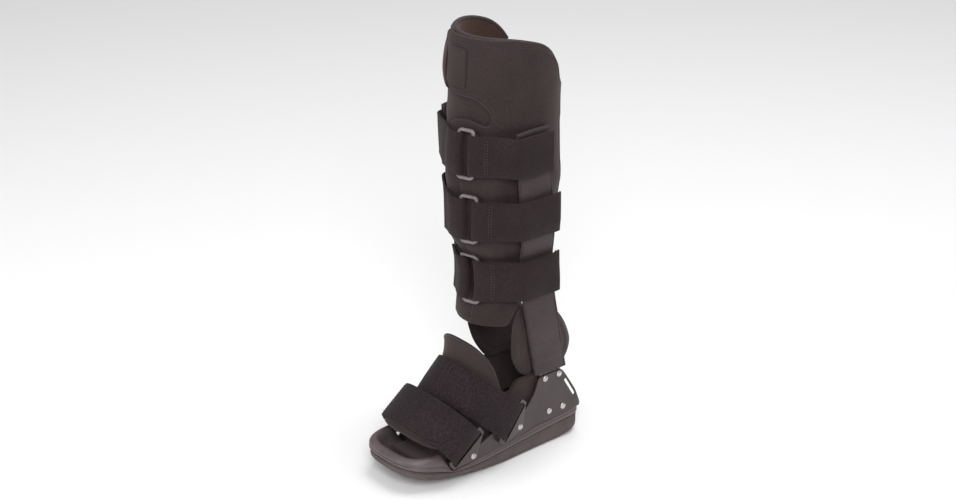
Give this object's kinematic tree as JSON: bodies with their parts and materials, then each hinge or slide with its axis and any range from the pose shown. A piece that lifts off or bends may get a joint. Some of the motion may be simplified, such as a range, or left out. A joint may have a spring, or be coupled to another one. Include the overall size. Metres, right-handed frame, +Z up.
{
  "type": "medical walking boot",
  "caption": "Tall walking boot with a padded leg wrap, metal-stayed sides, webbing shin and foot straps, and a rocker sole with an open toe.",
  "frame": {"origin": "On the floor, under the middle of the boot's bounding box.", "axes": "+Z is up along the leg, the toes point to -Y and the side with the visible sleeve faces +X."},
  "size_m": [0.1392, 0.255, 0.485],
  "materials": {
    "wrap_cloth": "napped loop fabric over foam",
    "webbing": "brushed loop webbing",
    "sleeve_cloth": "smooth woven nylon",
    "pad_cloth": "knit over foam",
    "powder_coat": "satin powder coat",
    "rivet_steel": "satin",
    "stay_metal": "satin",
    "outsole_rubber": "matte",
    "moulded_plastic": "satin moulded"
  },
  "bodies": {
    "root": {"ankle_pad_left": "pad_cloth", "ankle_pad_right": "pad_cloth", "foot_plate": "powder_coat", "footbed": "pad_cloth", "forefoot_pad": "pad_cloth", "forefoot_strap": "webbing", "heel_pad": "pad_cloth", "hook_patch": "webbing", "instep_pad": "pad_cloth", "instep_strap": "webbing", "leg_wrap": "wrap_cloth", "midsole": "moulded_plastic", "outsole": "outsole_rubber", "pull_strip": "wrap_cloth", "shin_ring_low": "moulded_plastic", "shin_ring_middle": "moulded_plastic", "shin_ring_top": "moulded_plastic", "shin_strap_low_far": "webbing", "shin_strap_low_near": "webbing", "shin_strap_middle_far": "webbing", "shin_strap_middle_near": "webbing", "shin_strap_top_far": "webbing", "shin_strap_top_near": "webbing", "strap_tab_forefoot_left": "powder_coat", "strap_tab_forefoot_right": "powder_coat", "strap_tab_instep_left": "powder_coat", "strap_tab_instep_right": "powder_coat", "tab_rivet_forefoot_left": "rivet_steel", "tab_rivet_forefoot_right": "rivet_steel", "tab_rivet_instep_left": "rivet_steel", "tab_rivet_instep_right": "rivet_steel", "upright_left": "stay_metal", "upright_right": "stay_metal", "upright_sleeve_left": "sleeve_cloth", "upright_sleeve_right": "sleeve_cloth", "wing_rivet_high_back_left": "rivet_steel", "wing_rivet_high_back_right": "rivet_steel", "wing_rivet_high_front_left": "rivet_steel", "wing_rivet_high_front_right": "rivet_steel", "wing_rivet_low_back_left": "rivet_steel", "wing_rivet_low_back_right": "rivet_steel", "wing_rivet_low_front_left": "rivet_steel", "wing_rivet_low_front_right": "rivet_steel", "wrap_flap": "wrap_cloth"}
  },
  "joints": []
}
